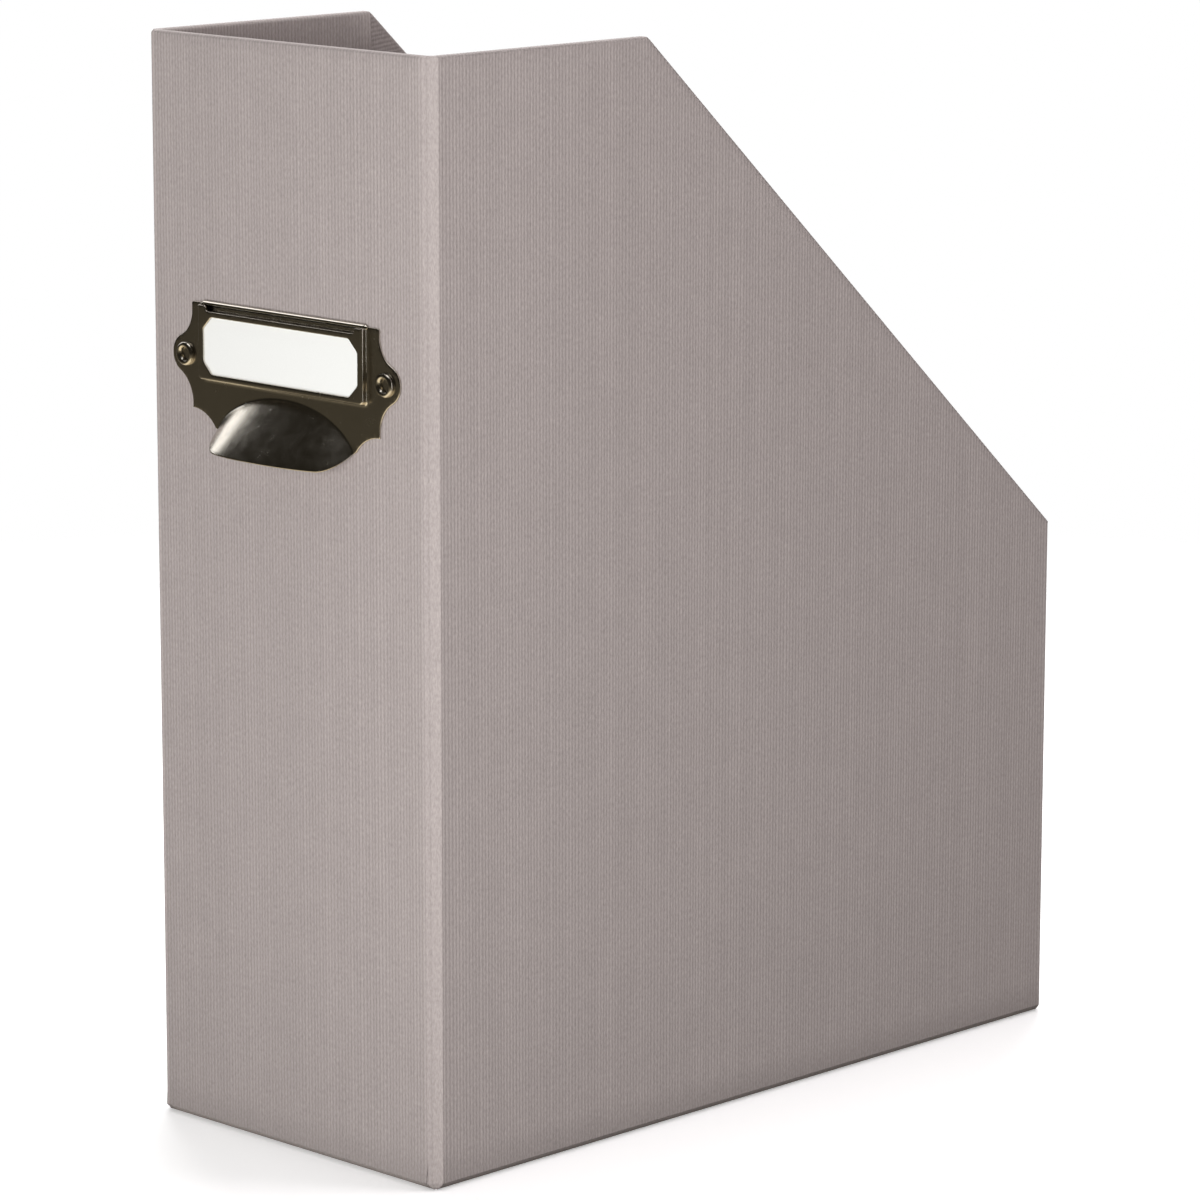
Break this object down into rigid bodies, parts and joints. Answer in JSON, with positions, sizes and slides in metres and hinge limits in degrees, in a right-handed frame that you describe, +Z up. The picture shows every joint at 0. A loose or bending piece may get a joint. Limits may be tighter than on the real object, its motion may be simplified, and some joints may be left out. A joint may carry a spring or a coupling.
{
  "type": "magazine file holder",
  "caption": "Upright paper-covered board box, open on top and along a slanted cut, for standing magazines; metal label frame with cup pull on the tall end.",
  "frame": {"origin": "middle of the rectangle that the file's walls stand over, on the flat face that it stands on", "axes": "+Z up, the label holder and the tall end face -Y, the low end faces +Y, +X is to the right of a person facing the label"},
  "size_m": [0.116, 0.276, 0.315],
  "materials": {
    "greyboard": "matte",
    "gummed_paper": "matte",
    "ribbed_paper": "matte",
    "base_paper": "matte",
    "polished_nickel": "polished",
    "card": "matte"
  },
  "bodies": {
    "file": {"front_board": "greyboard", "back_board": "greyboard", "left_side_board": "greyboard", "right_side_board": "greyboard", "base_board": "greyboard", "corner_stay_front_left": "gummed_paper", "corner_stay_front_right": "gummed_paper", "corner_stay_back_left": "gummed_paper", "corner_stay_back_right": "gummed_paper", "base_stay_front": "gummed_paper", "base_stay_back": "gummed_paper", "base_stay_left": "gummed_paper", "base_stay_right": "gummed_paper", "cover_sheet": "ribbed_paper", "base_cover": "base_paper", "lining_front": "ribbed_paper", "lining_back": "ribbed_paper", "lining_left": "ribbed_paper", "lining_right": "ribbed_paper", "lining_base": "ribbed_paper", "label_holder": "polished_nickel", "rivet_left": "polished_nickel", "rivet_right": "polished_nickel", "rivet_washer_left": "polished_nickel", "rivet_washer_right": "polished_nickel"},
    "card": {"label_card": "card"}
  },
  "joints": [
    {"name": "card_slide", "type": "slide", "parent": "file", "child": "card", "axis": [0, 0, 1], "range_m": [0, 0.0215]}
  ]
}
